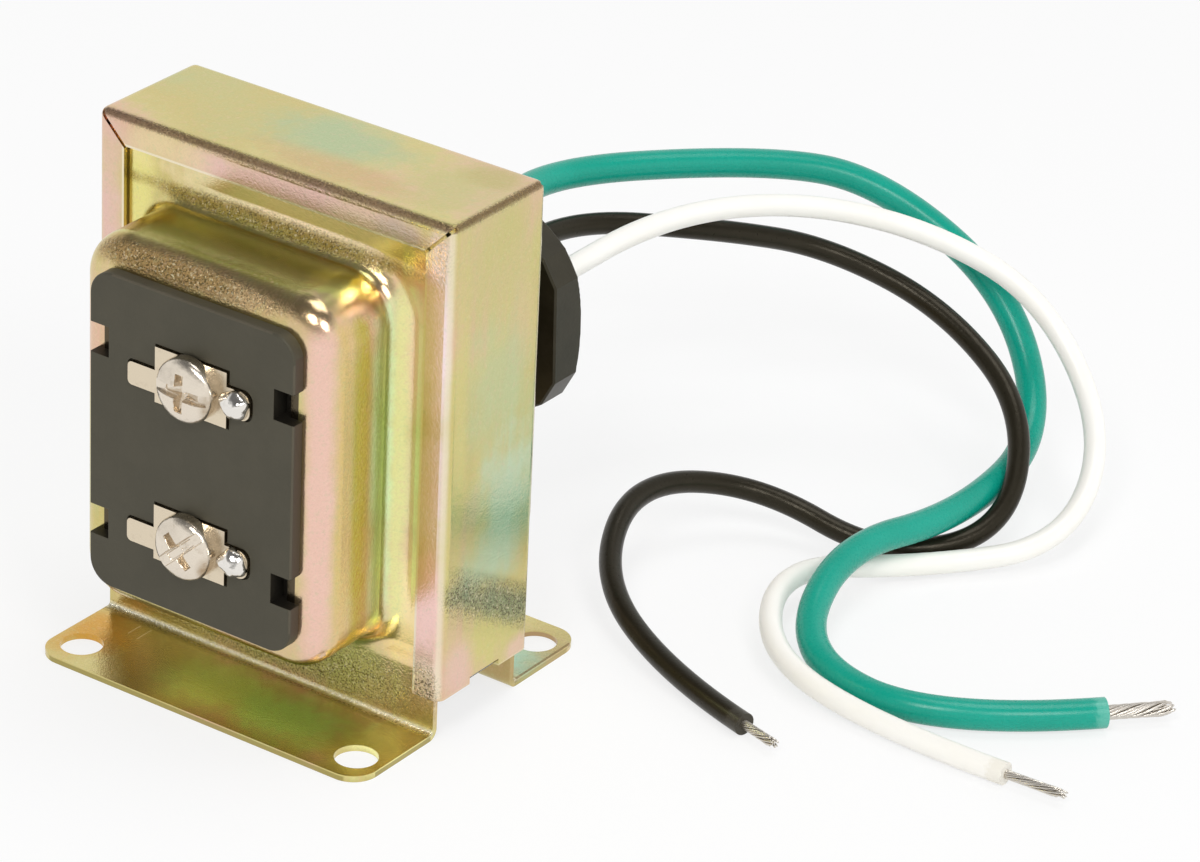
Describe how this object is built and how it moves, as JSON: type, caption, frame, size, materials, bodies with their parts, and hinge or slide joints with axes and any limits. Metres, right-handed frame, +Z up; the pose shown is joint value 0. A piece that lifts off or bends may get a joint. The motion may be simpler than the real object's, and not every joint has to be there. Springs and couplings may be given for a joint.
{
  "type": "doorbell transformer",
  "caption": "Small bell transformer in a folded chromate steel frame with domed covers and feet, screw terminals in front, and a knockout hub with loose supply leads behind.",
  "frame": {"origin": "centre of the four foot holes, on the plane that the feet stand on", "axes": "+X to the right of someone facing the terminals, +Y towards the hub at the back, +Z up"},
  "size_m": [0.1103, 0.1206, 0.0634],
  "materials": {
    "chromate_steel": "sheet steel with a yellow iridescent chromate over zinc",
    "lamination_steel": "stacked silicon steel, grey oxide",
    "bobbin_nylon": "natural moulded nylon",
    "magnet_wire": "enamelled copper wire",
    "coil_tape": "yellow film tape",
    "board_phenolic": "matt dark grey board",
    "nickel": "nickel plate, satin",
    "solder": "bright solder",
    "hub_nylon": "black moulded plastic, soft sheen",
    "bushing_rubber": "matt",
    "black_insulation": "smooth plastic insulation",
    "white_insulation": "smooth plastic insulation, ivory",
    "green_insulation": "smooth plastic insulation",
    "tinned_copper": "twisted tinned strands",
    "brass_strip": "plain strip"
  },
  "bodies": {
    "root": {"frame_band": "chromate_steel", "front_cover": "chromate_steel", "rear_cover": "chromate_steel", "core_e_stack": "lamination_steel", "core_i_stack": "lamination_steel", "bobbin": "bobbin_nylon", "primary_winding": "magnet_wire", "secondary_winding": "magnet_wire", "secondary_wire_upper": "magnet_wire", "secondary_wire_lower": "magnet_wire", "interlayer_tape": "coil_tape", "winding_tape": "coil_tape", "terminal_board": "board_phenolic", "terminal_plate_upper": "nickel", "terminal_plate_lower": "nickel", "terminal_screw_upper": "nickel", "terminal_screw_lower": "nickel", "solder_joint_upper": "solder", "solder_joint_lower": "solder", "hub_nipple": "hub_nylon", "hub_nut": "hub_nylon", "lead_bushing": "bushing_rubber", "black_lead": "black_insulation", "white_lead": "white_insulation", "green_lead": "green_insulation", "black_lead_strands": "tinned_copper", "white_lead_strands": "tinned_copper", "green_lead_strands": "tinned_copper", "black_lead_tag": "brass_strip", "white_lead_tag": "brass_strip", "ground_strap": "brass_strip"}
  },
  "joints": []
}
